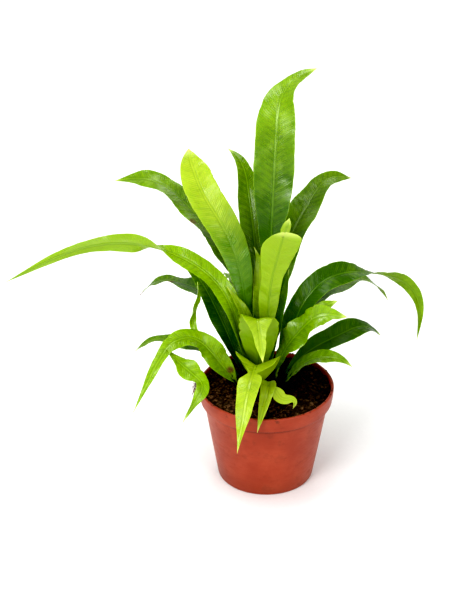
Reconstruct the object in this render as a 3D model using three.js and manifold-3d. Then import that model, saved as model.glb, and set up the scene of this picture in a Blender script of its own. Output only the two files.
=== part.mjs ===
// Potted Japanese bird's nest fern: a rosette of strap fronds in a round nursery pot.
// Millimetres, +Z up. The origin is the middle of the pot's underside. A frond's azimuth is measured
// from +X towards +Y, and the plant's front faces -Y.
import * as THREE from 'three';
import { mergeVertices } from 'three/addons/utils/BufferGeometryUtils.js';
import Module from 'manifold-3d';

const wasm = await Module();
wasm.setup();

const DEG = Math.PI / 180;
const GAP = 0.3; // clearance between pieces that touch on the real plant

const POT = {
  height: 90,
  rimRadius: 60, // over the band at the lip
  footRadius: 43,
  wall: 1.5,
  lip: 2.4, // the wall's thickness at its lip
  band: { height: 14, step: 3, taper: 1.4, thicker: 0.6 },
  chamfer: 0.9,
  hub: { radius: 13, rise: 3, inner: 15, outer: 33 }, // the recess round the base's flat middle
  drains: { count: 8, radius: 4, at: 24, segments: 10 },
  segments: 36,
};

const SOIL = {
  bottom: 5,
  edge: 86.6, // the surface's height at the wall
  middle: 89,
  rings: 8,
  lumps: [[0.19, 0.23, 1], [0.41, 0.33, 0.6]], // radians a mm along X and along Y, and height
  lumpsEnd: 6, // the higher, the closer to the wall the lumps reach
};

const CROWN = {
  x: -3,
  y: 0,
  radius: 24,
  bottom: 79,
  top: 99,
  shoulder: 87,
  segments: 20,
  rings: 4,
  socketRadius: 3.2,
};
const SOCKET_SIDES = 6;

// Where each whorl's stalks start: the inner fronds stand highest on the crown.
const WHORLS = [
  { radius: 4.5, z: 94 },
  { radius: 10.5, z: 92.5 },
  { radius: 17, z: 89.5 },
  { radius: 21, z: 88 },
];

// What all blades share. Places along the frond and shares of it run from 0 at the root to 1.
const BLADE = {
  stalkHalfWidth: 2.2,
  tipHalfWidth: 0.9,
  halfThickness: { edge: 0.36, rib: 0.62 },
  ribThins: [0.4, 0.75], // the stretch where the rib thins to the blade
  opensOver: 0.35, // the share over which the stalk opens out into the blade
  ribFades: 1.6, // above 1 the rib's extra thickness ends before the edge
  waveSpread: 1.6, // how fast the wave dies out from the edge to the rib
  waveOffset: 0.27, // turns that one edge's wave is ahead of the other's
  fullWaveAt: 8, // half width in mm from which the wave has its full height
  slopeCurve: 1.7, // above 1 a sloping top starts as a rounded corner
  columns: [-1, -0.5, 0, 0.5, 1],
  pathSteps: 160,
  fewestRows: 6,
};

const PLAIN = {
  young: false, // a young frond is brighter
  whorl: 2,
  stalk: 1.3, // half the thickness at the root
  stalkFold: 40, // degrees that each half rises from the rib at the root
  fold: 16, // degrees that each half rises from the rib in the open blade
  waists: [], // each: place, depth and breadth of a narrowing
  leftSlope: [0.9, 0], // where the left edge starts to slope in, and the share it loses by the tip
  bends: [], // each: its place and stretch as shares of the length, and its droop, sweep and twist
  roll: 0,
  opening: 0.7, // below 1 the blade opens out sooner and its base is broader
  rowLength: 9.5, // mm between cross-sections
  forks: [], // side blades: where each leaves the rib, its turn from it and a frond's values
};

const FORK = {
  blade: [0.05, 0.35, 1.4],
  opening: 1,
  wave: [1, 2, 0],
  fold: 10,
  stalk: 0.6,
  stalkFold: 12,
};

// Lengths and widths in mm, angles in degrees. blade is where the stalk ends, where the blade is
// widest and how full its tip is. wave is the edge wave's height in mm, number and phase in turns.
const FRONDS = [
  {
    name: 'frond_01_tall_left', whorl: 1, root: 153, azimuth: 155, rise: 84, roll: -50, length: 223,
    young: true, width: 30, blade: [0.12, 0.72, 5], opening: 1, wave: [1.5, 3, 0.1],
    bends: [[0.58, 0.5, 38, -6, 10], [0.8, 0.2, 0, -30, 20], [0.97, 0.1, -40, 0, 0]],
  },
  {
    name: 'frond_02_front_upright', whorl: 0, root: -68, azimuth: -54, rise: 88, roll: -34, length: 161,
    young: true, width: 33, blade: [0.1, 0.9, 7], opening: 1, fold: 12, wave: [1.2, 2, 0.3],
    waists: [[0.66, 0.3, 0.13]], bends: [[0.6, 0.5, 17, 0, 0]], leftSlope: [0.86, 0.75],
    rowLength: 5,
    forks: [{ from: 0.96, turn: 8, length: 21, width: 8.5, blade: [0, 0.4, 2] }],
  },
  {
    name: 'frond_03_tall_back', whorl: 0, root: 62, azimuth: 82, rise: 78, length: 291, width: 37,
    blade: [0.2, 0.66, 2.8], opening: 1, wave: [1.6, 5, 0],
    bends: [[0.5, 0.6, 4, 0, -6], [0.87, 0.22, 52, -66, 18]],
  },
  {
    name: 'frond_04_long_left', whorl: 1, root: 187, azimuth: 179, rise: 77, roll: -45, length: 303,
    width: 21, blade: [0.02, 0.4, 1.6], opening: 0.6, wave: [1.6, 4, 0.4],
    waists: [[0.53, 0.3, 0.06]],
    bends: [[0.35, 0.35, 48, 12, 0], [0.55, 0.16, 5, 1, 130], [0.7, 0.46, 42, 13, 20]],
  },
  {
    name: 'frond_05_arching_right', whorl: 1, root: 18, azimuth: 22, rise: 71, roll: 34, length: 253,
    width: 24, blade: [0.05, 0.28, 2], wave: [1.5, 4, 0.2], waists: [[0.64, 0.35, 0.05]],
    bends: [[0.4, 0.36, 85, 3, 0], [0.62, 0.3, 8, -2, -110], [0.8, 0.31, 72, -50, 0]],
  },
  {
    name: 'frond_06_waved_right', whorl: 1, root: -20, azimuth: -20, rise: 79, roll: 40, length: 110,
    width: 25, blade: [0.08, 0.5, 2.4], opening: 1, wave: [3.4, 3.5, 0.2],
    bends: [[0.34, 0.5, 26, 10, 10], [0.78, 0.3, 58, 0, 0]],
    forks: [{ from: 0.7, turn: 38, length: 30, width: 13, bends: [[0.5, 0.8, 40, 0, 0]] }],
  },
  {
    name: 'frond_07_low_right', azimuth: 22, rise: 52, roll: 25, length: 123, width: 23,
    blade: [0.08, 0.55, 2], bends: [[0.25, 0.5, 42, 9, 0], [0.78, 0.3, 53, 4, 0]], wave: [1.6, 3, 0],
  },
  {
    name: 'frond_08_short_right', azimuth: -12, rise: 56, roll: 20, length: 80, width: 16,
    blade: [0.08, 0.55, 1.8], bends: [[0.5, 0.5, 50, -2, 0], [0.85, 0.3, 42, -6, 0]], wave: [1, 2, 0.5],
  },
  {
    name: 'frond_09_over_the_rim', young: true, root: -106, azimuth: -99, rise: 86, length: 132, width: 46,
    blade: [0.07, 0.27, 0.8], opening: 0.6, fold: 30, wave: [2.6, 2.5, 0.6], waists: [[0.45, 0.72, 0.06]],
    bends: [[0.26, 0.26, 84, 0, 0], [0.56, 0.3, 62, -10, 0]],
  },
  {
    name: 'frond_10_small_front', young: true, azimuth: -79, rise: 74, length: 78, width: 14,
    blade: [0.08, 0.45, 1.3], opening: 1, bends: [[0.24, 0.34, 62, -12, 0], [0.52, 0.5, 62, -20, 0]],
    wave: [0.8, 2, 0],
    forks: [
      {
        from: 0.42, turn: 54, length: 38, width: 13,
        bends: [[0.15, 0.3, 40, 0, 20], [0.46, 0.29, -45, 52, 0], [0.75, 0.29, 116, -51, 0]],
      },
    ],
  },
  {
    name: 'frond_11_folded_front', whorl: 1, root: -115, azimuth: -98, rise: 86, length: 118, width: 38,
    young: true, blade: [0.06, 0.58, 0.85], opening: 0.7, fold: 18, wave: [1.6, 2, 0.2],
    waists: [[0.78, 0.3, 0.08]], bends: [[0.3, 0.5, 3, 0, 0], [0.64, 0.12, 120, 16, 0]],
  },
  {
    name: 'frond_12_forked_left', whorl: 3, root: -172, azimuth: -169, rise: 57, roll: -64, length: 160,
    width: 23, blade: [0.05, 0.26, 1.1], opening: 0.6, wave: [2.2, 4, 0.3],
    bends: [[0.45, 0.37, 66, 26, 44], [0.59, 0.4, 37, 16, 0]],
    forks: [
      {
        from: 0.62, turn: 100, length: 81, width: 20, blade: [0, 0.3, 1.2], wave: [2, 3, 0],
        bends: [[0.15, 0.4, -5, 1, 36], [0.56, 0.25, 15, -100, -85]],
      },
      {
        from: 0.36, turn: -46, length: 64, width: 12, blade: [0.1, 0.6, 1.4],
        bends: [[0.3, 0.5, -60, 0, 60], [0.8, 0.3, 20, 0, 30]],
      },
    ],
  },
  {
    name: 'frond_13_shaded_left', azimuth: 152, rise: 66, roll: -35, length: 122, width: 20,
    blade: [0.06, 0.55, 1.8], bends: [[0.5, 0.6, 8, 0, 0], [0.86, 0.3, 36, 0, 0]], wave: [1.2, 3, 0],
  },
  {
    name: 'frond_14_slender_right', whorl: 0, root: 0, azimuth: 12, rise: 80, length: 110, width: 12,
    young: true, blade: [0.1, 0.6, 1.8], bends: [[0.6, 0.6, -3, 0, 20]], wave: [0.8, 3, 0.5],
  },
  {
    name: 'frond_15_back_right', whorl: 1, root: 74, azimuth: 68, rise: 79, length: 232, width: 30,
    blade: [0.1, 0.6, 2.2], wave: [1.8, 4, 0.3],
    bends: [[0.45, 0.6, 50, -10, 0], [0.86, 0.24, 50, -20, 30]],
  },
  {
    name: 'frond_16_back_left', whorl: 1, root: 130, azimuth: 131, rise: 81, length: 252, width: 30,
    blade: [0.1, 0.6, 2.2], opening: 1, wave: [2, 5, 0.1],
    bends: [[0.4, 0.6, 50, 12, 0], [0.84, 0.3, 48, 20, -40]],
  },
  {
    name: 'frond_17_drooping_right', azimuth: 50, rise: 58, length: 190, width: 24,
    blade: [0.08, 0.5, 1.8], bends: [[0.36, 0.5, 60, -6, 0], [0.8, 0.4, 56, -12, 0]], wave: [2, 4, 0.7],
  },
  {
    name: 'frond_18_drooping_back', azimuth: 80, rise: 62, length: 178, width: 26,
    blade: [0.08, 0.5, 1.6], bends: [[0.4, 0.5, 64, 8, 0], [0.82, 0.36, 50, 10, 20]], wave: [2.2, 4, 0],
  },
  {
    name: 'frond_19_forked_back', azimuth: 106, rise: 58, length: 150, width: 21,
    blade: [0.08, 0.45, 1.6], bends: [[0.45, 0.5, 60, 0, 0], [0.8, 0.3, 30, 0, 0]], wave: [2.4, 4, 0.4],
    forks: [{ from: 0.56, turn: -42, length: 62, width: 14, bends: [[0.4, 0.6, 60, -20, 0]] }],
  },
  {
    name: 'frond_20_drooping_left', azimuth: 132, rise: 60, length: 182, width: 24,
    blade: [0.08, 0.5, 1.7], bends: [[0.4, 0.5, 66, 6, 0], [0.82, 0.36, 46, 10, -20]], wave: [2, 4, 0.2],
  },
  {
    name: 'frond_21_young_left', whorl: 0, root: 195, azimuth: 181, rise: 84, roll: -60, length: 100,
    young: true, width: 12, blade: [0.1, 0.6, 1.8], wave: [1, 2, 0.1], bends: [[0.6, 0.7, 26, 0, 20]],
  },
  {
    name: 'frond_22_upright_back', whorl: 1, root: 100, azimuth: 102, rise: 81, length: 214, width: 24,
    blade: [0.1, 0.62, 2.2], opening: 1, wave: [2, 4, 0.6],
    bends: [[0.5, 0.7, 24, 4, -10], [0.9, 0.2, 40, 30, 0]],
  },
  {
    name: 'frond_23_inner_back', whorl: 0, root: 119, azimuth: 98, rise: 87, length: 124, width: 14,
    young: true, blade: [0.1, 0.62, 2], wave: [1.4, 3, 0.3],
    bends: [[0.6, 0.6, 16, 0, 0], [0.9, 0.2, 40, 20, 20]],
  },
  {
    name: 'frond_24_low_left', root: 170, azimuth: 172, rise: 46, roll: -10, length: 120, width: 19,
    blade: [0.08, 0.5, 1.7], bends: [[0.4, 0.5, 46, -8, 0], [0.8, 0.3, 46, 0, 0]], wave: [1.8, 3, 0.8],
  },
];

// Small functions

const clampUnit = (x) => Math.min(Math.max(x, 0), 1);

function smooth(x) {
  const t = clampUnit(x);
  return t * t * (3 - 2 * t);
}

/** The closed solid of a geometry, with its shared vertices merged and its flat triangles dropped. */
function solidOf(geometry) {
  const bare = geometry.clone();
  for (const name of Object.keys(bare.attributes)) {
    if (name !== 'position') bare.deleteAttribute(name);
  }
  const merged = mergeVertices(bare, 1e-4);
  const index = [];
  for (let i = 0; i < merged.index.count; i += 3) {
    const [a, b, c] = [0, 1, 2].map((k) => merged.index.getX(i + k));
    if (a !== b && b !== c && c !== a) index.push(a, b, c);
  }
  return new wasm.Manifold(
    new wasm.Mesh({
      numProp: 3,
      vertProperties: new Float32Array(merged.attributes.position.array),
      triVerts: new Uint32Array(index),
    }),
  );
}

function geometryOf(solid) {
  const mesh = solid.getMesh();
  const geometry = new THREE.BufferGeometry();
  geometry.setAttribute('position', new THREE.BufferAttribute(mesh.vertProperties, 3));
  geometry.setIndex(new THREE.BufferAttribute(mesh.triVerts, 1));
  geometry.computeVertexNormals();
  return geometry;
}

function piece(name, geometry, material) {
  const mesh = new THREE.Mesh(geometry, material);
  mesh.name = name;
  return mesh;
}

/** A solid turned round the Z axis from a profile of [radius, height] points. */
function turned(profile, segments) {
  const points = profile.map(([r, z]) => new THREE.Vector2(r, z));
  return new THREE.LatheGeometry(points, segments).rotateX(Math.PI / 2);
}

// The frond's path and cross-sections

/** The rise, heading and twist, in radians, at a share s of the frond's length. */
function anglesAt(frond, s) {
  let rise = frond.rise;
  let heading = frond.azimuth;
  let twist = frond.roll;
  for (const [place, stretch, droop, sweep, turn] of frond.bends) {
    const share = smooth((s - place) / stretch + 0.5);
    rise -= droop * share;
    heading += sweep * share;
    twist += turn * share;
  }
  return { rise: rise * DEG, heading: heading * DEG, twist: twist * DEG };
}

function directionAt(frond, s) {
  const { rise, heading } = anglesAt(frond, s);
  return new THREE.Vector3(
    Math.cos(rise) * Math.cos(heading),
    Math.cos(rise) * Math.sin(heading),
    Math.sin(rise),
  );
}

/** Points along the frond's rib from its root, at equal steps of its length. */
function pathOf(frond, root) {
  const steps = BLADE.pathSteps;
  const points = [root.clone()];
  for (let i = 0; i < steps; i += 1) {
    const step = directionAt(frond, (i + 0.5) / steps).multiplyScalar(frond.length / steps);
    points.push(points[i].clone().add(step));
  }
  return points;
}

function pointAt(path, s) {
  const at = clampUnit(s) * (path.length - 1);
  const i = Math.min(Math.floor(at), path.length - 2);
  return path[i].clone().lerp(path[i + 1], at - i);
}

/** Half the blade's width at s: a stalk, a swelling to the widest place and a taper to the tip. */
function halfWidthAt(frond, s) {
  const [starts, widest, fullness] = frond.blade;
  const half = frond.width / 2;
  let width;
  if (s < widest) {
    const opened = smooth(clampUnit((s - starts) / (widest - starts)) ** frond.opening);
    width = THREE.MathUtils.lerp(BLADE.stalkHalfWidth, half, opened);
  } else {
    width = half * (1 - ((s - widest) / (1 - widest)) ** fullness);
  }
  for (const [place, depth, breadth] of frond.waists) {
    width *= 1 - depth * Math.exp(-(((s - place) / breadth) ** 2));
  }
  return Math.max(width, BLADE.tipHalfWidth);
}

/** The directions across the blade and out of its upper face at s, before it folds and waves. */
function crossAxesAt(frond, s) {
  const { rise, heading, twist } = anglesAt(frond, s);
  const level = new THREE.Vector3(-Math.sin(heading), Math.cos(heading), 0);
  const lift = new THREE.Vector3(
    -Math.sin(rise) * Math.cos(heading),
    -Math.sin(rise) * Math.sin(heading),
    Math.cos(rise),
  );
  const [cos, sin] = [Math.cos(twist), Math.sin(twist)];
  return {
    side: level.clone().multiplyScalar(cos).addScaledVector(lift, sin),
    up: lift.clone().multiplyScalar(cos).addScaledVector(level, -sin),
  };
}

/** Half the thickness along the rib at s: thick in the stalk, and thinned to the blade near the tip. */
function ribAt(frond, s) {
  const { edge, rib } = BLADE.halfThickness;
  const [from, to] = BLADE.ribThins;
  const { lerp } = THREE.MathUtils;
  const thins = lerp(frond.stalk, rib, smooth(s / BLADE.opensOver));
  return lerp(thins, edge, smooth((s - from) / (to - from)));
}

/** The share of the left half's width that a top which slopes down to its left leaves at s. */
function leftShareAt(frond, s) {
  const [from, loss] = frond.leftSlope;
  return 1 - loss * clampUnit((s - from) / (1 - from)) ** BLADE.slopeCurve;
}

/** The two faces' points of the cross-section at s, from the left edge to the right one. */
function sectionAt(frond, path, s) {
  const { side, up } = crossAxesAt(frond, s);
  const centre = pointAt(path, s);
  const half = halfWidthAt(frond, s);
  const opened = smooth((s - frond.blade[0] / 2) / BLADE.opensOver);
  const fold = THREE.MathUtils.lerp(frond.stalkFold, frond.fold, opened) * (1 - s / 2) * DEG;
  const [height, count, phase] = frond.wave;
  const reach = height * opened * Math.min(1, half / BLADE.fullWaveAt);
  const { edge } = BLADE.halfThickness;
  const rib = ribAt(frond, s);
  const faces = { top: [], bottom: [] };
  for (const v of BLADE.columns) {
    const hand = Math.sign(v);
    const away = Math.abs(v);
    const wide = v < 0 ? half * leftShareAt(frond, s) : half;
    const ripple = Math.sin(2 * Math.PI * (count * s + phase + BLADE.waveOffset * hand));
    const wave = reach * away ** BLADE.waveSpread * ripple;
    const point = centre
      .clone()
      .addScaledVector(side, v * wide * Math.cos(fold))
      .addScaledVector(up, away * wide * Math.sin(fold) + wave);
    const tilt = hand * fold;
    const out = up.clone().multiplyScalar(Math.cos(tilt)).addScaledVector(side, -Math.sin(tilt));
    const thick = THREE.MathUtils.lerp(rib, edge, smooth(away * BLADE.ribFades));
    faces.top.push(point.clone().addScaledVector(out, thick));
    faces.bottom.push(point.clone().addScaledVector(out, -thick));
  }
  return faces;
}

/** A closed blade: cross-sections joined along the rib, split alike on both faces, with flat ends. */
function bladeGeometry(frond, path) {
  const rows = Math.max(BLADE.fewestRows, Math.round(frond.length / frond.rowLength));
  const across = BLADE.columns.length;
  const positions = [];
  for (let i = 0; i <= rows; i += 1) {
    const { top, bottom } = sectionAt(frond, path, i / rows);
    for (const p of [...top, ...bottom]) positions.push(p.x, p.y, p.z);
  }
  const top = (i, j) => i * 2 * across + j;
  const bottom = (i, j) => top(i, j) + across;
  const index = [];
  const quad = (a, b, c, d) => index.push(a, b, c, a, c, d);
  const last = across - 1;
  for (let i = 0; i < rows; i += 1) {
    for (let j = 0; j < last; j += 1) {
      quad(top(i, j), top(i + 1, j), top(i + 1, j + 1), top(i, j + 1));
      index.push(bottom(i, j), bottom(i + 1, j + 1), bottom(i + 1, j));
      index.push(bottom(i, j), bottom(i, j + 1), bottom(i + 1, j + 1));
    }
    quad(top(i, last), top(i + 1, last), bottom(i + 1, last), bottom(i, last));
    quad(top(i, 0), bottom(i, 0), bottom(i + 1, 0), top(i + 1, 0));
  }
  for (let j = 0; j < last; j += 1) {
    quad(top(0, j), top(0, j + 1), bottom(0, j + 1), bottom(0, j));
    quad(top(rows, j + 1), top(rows, j), bottom(rows, j), bottom(rows, j + 1));
  }
  const geometry = new THREE.BufferGeometry();
  geometry.setAttribute('position', new THREE.Float32BufferAttribute(positions, 3));
  geometry.setIndex(index);
  return geometry;
}

function rootOf(frond) {
  const whorl = WHORLS[frond.whorl];
  const at = (frond.root ?? frond.azimuth) * DEG;
  return new THREE.Vector3(
    CROWN.x + whorl.radius * Math.cos(at),
    CROWN.y + whorl.radius * Math.sin(at),
    whorl.z,
  );
}

/** A frond as one solid: its blade, with each fork's blade joined to it. */
function frondSolid(frond) {
  const path = pathOf(frond, rootOf(frond));
  let solid = solidOf(bladeGeometry(frond, path));
  for (const fork of frond.forks) {
    const { rise, heading, twist } = anglesAt(frond, fork.from);
    const side = {
      ...PLAIN,
      ...FORK,
      ...fork,
      rise: rise / DEG,
      azimuth: heading / DEG + fork.turn,
      roll: twist / DEG,
    };
    const start = pointAt(path, fork.from);
    solid = solid.add(solidOf(bladeGeometry(side, pathOf(side, start))));
  }
  return solid;
}

// The pieces

const BAND_FOOT = POT.height - POT.band.height;
const BAND_RADIUS = POT.rimRadius - POT.band.taper; // at the band's foot
const BODY_RADIUS = BAND_RADIUS - POT.band.step; // just under the band
const FLOOR = POT.wall + POT.hub.rise;

// The pot's inner wall as [radius, height] points, from the floor up to the lip.
const INNER_WALL = [
  [POT.footRadius - POT.wall, FLOOR],
  [BODY_RADIUS - POT.wall, BAND_FOOT - POT.chamfer],
  [BAND_RADIUS - POT.wall - POT.band.thicker, BAND_FOOT + POT.wall + POT.chamfer],
  [POT.rimRadius - POT.lip, POT.height - POT.chamfer],
];

function potGeometry() {
  const { height, rimRadius, footRadius, lip, chamfer, hub, drains } = POT;
  const profile = [
    [0, 0],
    [hub.radius, 0],
    [hub.inner, hub.rise],
    [hub.outer, hub.rise],
    [hub.outer + hub.inner - hub.radius, 0],
    [footRadius - chamfer, 0],
    [footRadius, chamfer],
    [BODY_RADIUS, BAND_FOOT - chamfer],
    [BAND_RADIUS - chamfer / 2, BAND_FOOT],
    [BAND_RADIUS, BAND_FOOT + chamfer / 2],
    [rimRadius, height - chamfer],
    [rimRadius - chamfer, height],
    [rimRadius - lip + chamfer / 2, height],
    ...INNER_WALL.toReversed(),
    [0, FLOOR],
  ];
  let solid = solidOf(turned(profile, POT.segments));
  for (let i = 0; i < drains.count; i += 1) {
    const turn = (i / drains.count) * 2 * Math.PI;
    const drain = new THREE.CylinderGeometry(drains.radius, drains.radius, 3 * FLOOR, drains.segments)
      .rotateX(Math.PI / 2)
      .translate(drains.at * Math.cos(turn), drains.at * Math.sin(turn), FLOOR / 2);
    solid = solid.subtract(solidOf(drain));
  }
  return geometryOf(solid);
}

/** The pot's inner radius at a height. */
function innerRadiusAt(z) {
  const i = Math.max(1, INNER_WALL.findIndex(([, height]) => height >= z));
  const [r0, z0] = INNER_WALL[i - 1];
  const [r1, z1] = INNER_WALL[i];
  return THREE.MathUtils.mapLinear(z, z0, z1, r0, r1);
}

/** The soil's surface: a low mound with a lumpy relief that dies out at the pot's wall. */
function soilHeightAt(x, y) {
  const r = Math.hypot(x, y) / POT.rimRadius;
  let lumps = 0;
  for (const [alongX, alongY, height] of SOIL.lumps) {
    lumps += height * Math.sin(x * alongX) * Math.cos(y * alongY);
  }
  const mound = SOIL.middle + (SOIL.edge - SOIL.middle) * r * r;
  return mound + lumps * Math.max(0, 1 - r ** SOIL.lumpsEnd);
}

function soilGeometry() {
  const heights = [SOIL.bottom, ...INNER_WALL.slice(1, 3).map(([, z]) => z), SOIL.edge];
  const wall = heights.map((z) => [innerRadiusAt(z) - GAP, z]);
  const [brim] = wall.at(-1);
  const surface = [];
  for (let i = SOIL.rings - 1; i >= 0; i -= 1) surface.push([(brim * i) / SOIL.rings, SOIL.edge]);
  const geometry = turned([[0, SOIL.bottom], ...wall, ...surface], POT.segments);
  const position = geometry.attributes.position;
  for (let i = 0; i < position.count; i += 1) {
    const [x, y, z] = [position.getX(i), position.getY(i), position.getZ(i)];
    if (z > SOIL.edge - 0.01) position.setZ(i, soilHeightAt(x, y));
  }
  const radius = CROWN.radius + GAP;
  const height = POT.height - CROWN.bottom;
  const hole = new THREE.CylinderGeometry(radius, radius, 2 * height, CROWN.segments)
    .rotateX(Math.PI / 2)
    .translate(CROWN.x, CROWN.y, CROWN.bottom - GAP + height);
  return geometryOf(solidOf(geometry).subtract(solidOf(hole)));
}

/** The short rootstock, with a socket for each stalk. */
function crownGeometry(fronds) {
  const { radius, bottom, shoulder, top, socketRadius } = CROWN;
  const dome = [];
  for (let i = 0; i < CROWN.rings; i += 1) {
    const turn = (i / CROWN.rings) * (Math.PI / 2);
    dome.push([radius * Math.cos(turn), shoulder + (top - shoulder) * Math.sin(turn)]);
  }
  const profile = [[0, bottom], [radius, bottom], ...dome, [0, top]];
  let solid = solidOf(turned(profile, CROWN.segments).translate(CROWN.x, CROWN.y, 0));
  const axis = new THREE.Vector3(0, 1, 0);
  for (const frond of fronds) {
    const direction = directionAt(frond, 0);
    const turn = new THREE.Quaternion().setFromUnitVectors(axis, direction);
    const middle = rootOf(frond).addScaledVector(direction, top - bottom - GAP);
    const socket = new THREE.CylinderGeometry(socketRadius, socketRadius, 2 * (top - bottom), SOCKET_SIDES)
      .applyQuaternion(turn)
      .translate(middle.x, middle.y, middle.z);
    solid = solid.subtract(solidOf(socket));
  }
  return geometryOf(solid);
}

const clay = new THREE.MeshStandardMaterial({ color: 0xb5492c, roughness: 0.55, metalness: 0 });
const peat = new THREE.MeshStandardMaterial({ color: 0x2b1a10, roughness: 1, metalness: 0 });
const scaly = new THREE.MeshStandardMaterial({ color: 0x3a2a1a, roughness: 0.95, metalness: 0 });
const youngLeaf = new THREE.MeshStandardMaterial({ color: 0x95c430, roughness: 0.4, metalness: 0 });
const matureLeaf = new THREE.MeshStandardMaterial({ color: 0x5a9428, roughness: 0.4, metalness: 0 });

const fern = new THREE.Group();
const fronds = FRONDS.map((frond) => ({ ...PLAIN, ...frond }));
fern.add(piece('pot', potGeometry(), clay));
fern.add(piece('soil', soilGeometry(), peat));
fern.add(piece('crown', crownGeometry(fronds), scaly));
for (const frond of fronds) {
  const leaf = frond.young ? youngLeaf : matureLeaf;
  fern.add(piece(frond.name, geometryOf(frondSolid(frond)), leaf));
}

export default fern;
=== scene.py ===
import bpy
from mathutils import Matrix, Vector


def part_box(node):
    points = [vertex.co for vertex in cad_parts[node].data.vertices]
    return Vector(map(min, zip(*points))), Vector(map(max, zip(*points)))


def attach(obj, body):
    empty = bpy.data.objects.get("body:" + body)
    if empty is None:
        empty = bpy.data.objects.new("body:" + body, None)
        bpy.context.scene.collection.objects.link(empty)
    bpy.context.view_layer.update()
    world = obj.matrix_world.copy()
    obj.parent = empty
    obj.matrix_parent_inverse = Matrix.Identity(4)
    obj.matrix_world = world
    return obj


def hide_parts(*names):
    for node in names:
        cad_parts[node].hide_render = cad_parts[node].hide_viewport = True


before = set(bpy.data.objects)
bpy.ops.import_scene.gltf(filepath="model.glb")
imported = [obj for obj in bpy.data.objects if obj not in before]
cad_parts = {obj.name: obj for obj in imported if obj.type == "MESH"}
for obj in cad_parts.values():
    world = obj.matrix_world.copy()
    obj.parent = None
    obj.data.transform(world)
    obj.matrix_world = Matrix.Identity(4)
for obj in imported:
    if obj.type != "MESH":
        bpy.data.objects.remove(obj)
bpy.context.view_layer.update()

# Potted Japanese bird's nest fern: the looks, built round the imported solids.
# Shapes are worked out in millimetres in the frame's axes and scaled to metres as a mesh is made.
# A frond's azimuth is measured from +X towards +Y, and the plant's front faces -Y.
import math

import bpy
import numpy as np
from mathutils import Vector

MM = 0.001
DEG = math.pi / 180
ON_AXIS = 1e-6
BODY = "root"

# The camera stands where the photograph was taken from and looks at the plant's middle.
CAMERA_AT = (-19, -1206.5, 822.5)
CAMERA_AIM = (-37, 12, 168)
LENS = 95

POT_HIGH = np.array(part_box("pot")[1]) / MM
POT = dict(
    height=POT_HIGH[2],
    rim=POT_HIGH[0],  # radius over the lip
    foot=43,
    wall=1.5,
    lip=2.4,
    band_height=14,
    band_step=3,
    band_taper=1.4,
    band_bulge=0.45,
    band_thicker=0.6,
    chamfer=0.9,
    hub=13,
    hub_rise=3,
    hub_inner=15,
    hub_outer=33,
    drains=8,
    drain_radius=4,
    drains_at=24,
    segments=144,
)
SOIL = dict(
    bottom=5,
    edge=86.6,  # the surface's height at the wall
    middle=89,
    lumps=[(0.19, 0.23, 1), (0.41, 0.33, 0.6)],  # radians a mm along X and along Y, and height
    rings=150,
    segments=300,
    sunk=1.3,  # how far the ground between the crumbs lies under the surface
    beds=[(2600, 0.7, 4.2, 1), (5200, 0.4, 1.1, 0.4)],  # crumbs, their radii and share of height
    bed_reach=62,
    grain=0.12,
    clear=0.25,  # mm between the peat and the wall
)
LITTER = dict(crumbs=420, lip_crumbs=90, tuft_crumbs=70, fibres=80, tuft_fibres=90)
SCALES = dict(dome=520, stalk=16)
TUFT_AT = 187  # degrees round the pot
CROWN = dict(middle=(-3, 0), radius=24, bottom=79, shoulder=87, top=99)

# Where each whorl's stalks start: radius round the crown's middle and height.
WHORLS = [(4.5, 94), (10.5, 92.5), (17, 89.5), (21, 88)]

# What all blades share. Places along a frond and shares of it run from 0 at the root to 1.
STALK_HALF_WIDTH = 2.2
TIP_HALF_WIDTH = 0.25
OPENS_OVER = 0.35  # the share over which the stalk opens out into the blade
FLATTENS_OVER = 0.15  # the share over which the stalk's thickness gives way to the blade's
WAVE_SPREAD = 1.6  # how fast the wave dies out from the edge to the rib
WAVE_OFFSET = 0.27  # turns that one edge's wave is ahead of the other's
FULL_WAVE_AT = 8  # half width in mm from which the wave has its full height
SLOPE_CURVE = 1.7  # above 1 a sloping top starts as a rounded corner
ROW = 1.25  # mm between cross-sections
PATH_STEPS = 640
HALF_COLUMNS = [0, 0.03, 0.065, 0.11, 0.17, 0.25, 0.35, 0.46, 0.58, 0.7, 0.81, 0.9, 0.96, 1]
COLUMNS = np.array([-v for v in HALF_COLUMNS[:0:-1]] + HALF_COLUMNS)
FOLD_ROUND = 0.06  # the share of the half width over which the fold at the rib is rounded

# Half thicknesses in mm.
STALK_END = 0.55
RIB_END = 0.16
SHEET = 0.24
SHEET_EDGE = 0.16

# The rib: heights and breadths in mm of the ridge, the grooves beside it and the keel below.
RIDGE, RIDGE_BREADTH = 0.3, 0.45
GROOVE, GROOVE_BREADTH, GROOVE_AT = 0.22, 0.5, 1.1
KEEL, KEEL_BREADTH = 0.8, 0.75
RIB_FADES = 0.75  # the share of them that is lost by the tip

# The relief, in mm: plaits and narrow creases along the veins, a quilting and a fluttering margin.
VEIN_SLANT = 0.42  # how far a vein runs forwards for each mm outwards
VEIN_SWAY, SWAY_PITCH = 3, 23
PLAIT, PLAIT_PITCH, PLAIT_CHANGES = 0.24, 13, 11
CREASE, CREASE_PITCH, CREASE_LAG = 0.4, 4.3, 2
QUILT, QUILT_PITCH = 0.42, 8
RELIEF_FROM_RIB = 4  # mm from the rib at which the relief has its full height
FLUTTER, FLUTTER_SPREAD = 0.45, 5
FLUTTER_PITCH = {-1: 7, 1: 8}  # on the left and on the right

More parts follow.
